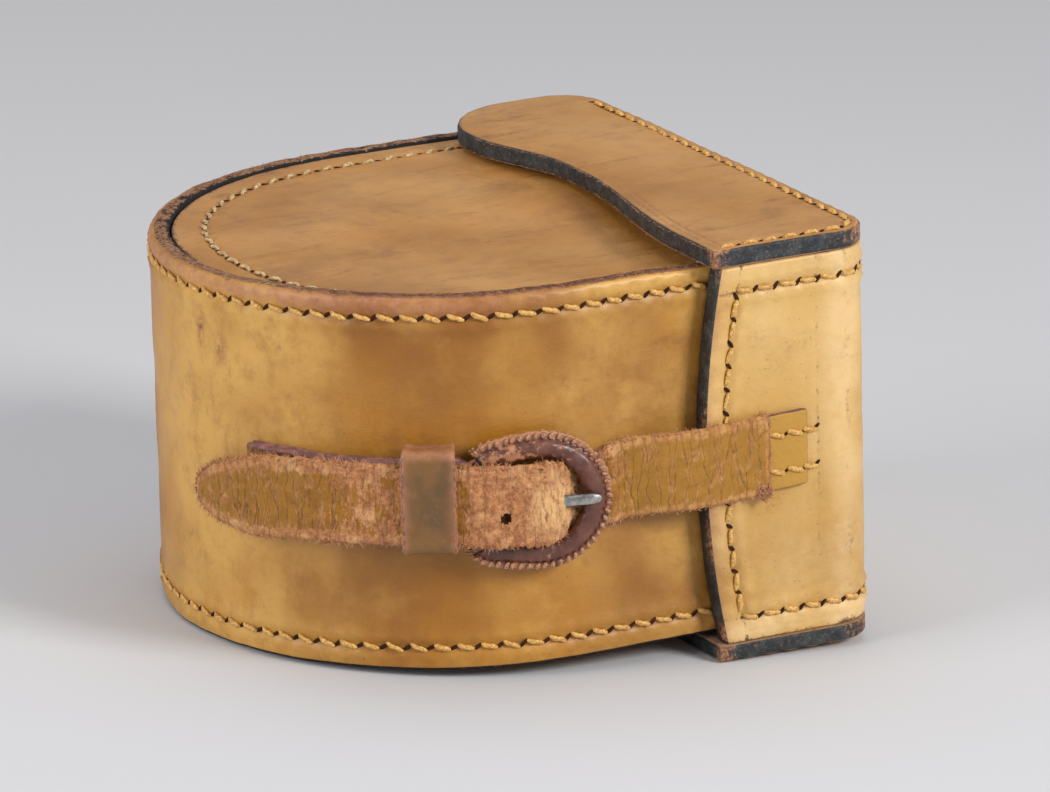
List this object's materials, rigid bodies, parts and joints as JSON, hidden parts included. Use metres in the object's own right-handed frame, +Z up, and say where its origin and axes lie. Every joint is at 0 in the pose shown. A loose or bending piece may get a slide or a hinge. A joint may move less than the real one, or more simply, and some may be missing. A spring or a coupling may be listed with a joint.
{
  "type": "leather instrument case",
  "caption": "D-shaped hand-stitched leather case for a small round-ended instrument, with a wrap-round lid, closing strap, keeper and leather-covered buckle.",
  "frame": {"origin": "centre of the bottom of the bounding box, under the lid's bottom panel", "axes": "+Z up from the bottom panel to the top panel, +X from the round end towards the flat lid end, -Y the side with the strap and buckle"},
  "size_m": [0.1032, 0.1056, 0.0703],
  "materials": {
    "body_leather": "waxed saddle leather, honey tan, satin with scuffs",
    "lid_leather": "waxed saddle leather, honey tan, satin, edges dyed blue-black",
    "facing_leather": "thin skived leather, suede side out",
    "strap_leather": "dry cracked strap leather with frayed suede edges",
    "chape_leather": "strap leather, red-brown edges",
    "keeper_leather": "smooth brown leather, satin",
    "cover_leather": "polished dark maroon leather, worn to tan on its edges",
    "thread": "waxed linen thread, straw yellow",
    "cover_thread": "fine waxed thread, brown",
    "steel": "old bright steel wire"
  },
  "bodies": {
    "body": {"body_wall": "body_leather", "body_top_panel": "body_leather", "body_bottom_panel": "body_leather", "lid_hinge_fold": "body_leather", "buckle_chape": "chape_leather", "body_top_wall_row": "thread", "body_top_face_row": "thread", "body_bottom_wall_row": "thread", "body_bottom_face_row": "thread", "chape_upper_stitches": "thread", "chape_lower_stitches": "thread"},
    "lid": {"lid_wall": "lid_leather", "lid_top_panel": "lid_leather", "lid_bottom_panel": "lid_leather", "lid_facing": "facing_leather", "lid_top_wall_row": "thread", "lid_top_face_row": "thread", "lid_bottom_wall_row": "thread", "lid_bottom_face_row": "thread", "lid_edge_row": "thread", "strap_upper_stitches": "thread", "strap_lower_stitches": "thread"},
    "strap": {"closing_strap": "strap_leather"},
    "buckle": {"buckle_frame": "steel", "buckle_cover": "cover_leather", "buckle_cover_stitches": "cover_thread"},
    "prong": {"buckle_prong": "steel"},
    "keeper": {"strap_keeper": "keeper_leather"}
  },
  "joints": [
    {"name": "lid_hinge", "type": "hinge", "parent": "body", "child": "lid", "pos_m": [0.04859, 0.04903, 0.0354], "axis": [0, 0, 1], "range_deg": [0, 135], "deforming": ["lid_hinge_fold"]},
    {"name": "strap_swing", "type": "hinge", "parent": "lid", "child": "strap", "pos_m": [0.02974, -0.05032, 0.0349], "axis": [0, 0, 1], "range_deg": [0, 100], "deforming": ["closing_strap"]},
    {"name": "buckle_swing", "type": "hinge", "parent": "body", "child": "buckle", "pos_m": [-0.01939, -0.04521, 0.0329], "axis": [0, 0, -1], "range_deg": [0, 35]},
    {"name": "prong_swing", "type": "hinge", "parent": "buckle", "child": "prong", "pos_m": [-0.01939, -0.04521, 0.0329], "axis": [0, 0, -1], "range_deg": [0, 70]},
    {"name": "keeper_slide", "type": "hinge", "parent": "body", "child": "keeper", "pos_m": [-0.00066, 0.00308, 0.0339], "axis": [0, 0, -1], "range_deg": [0, 11.5]}
  ]
}
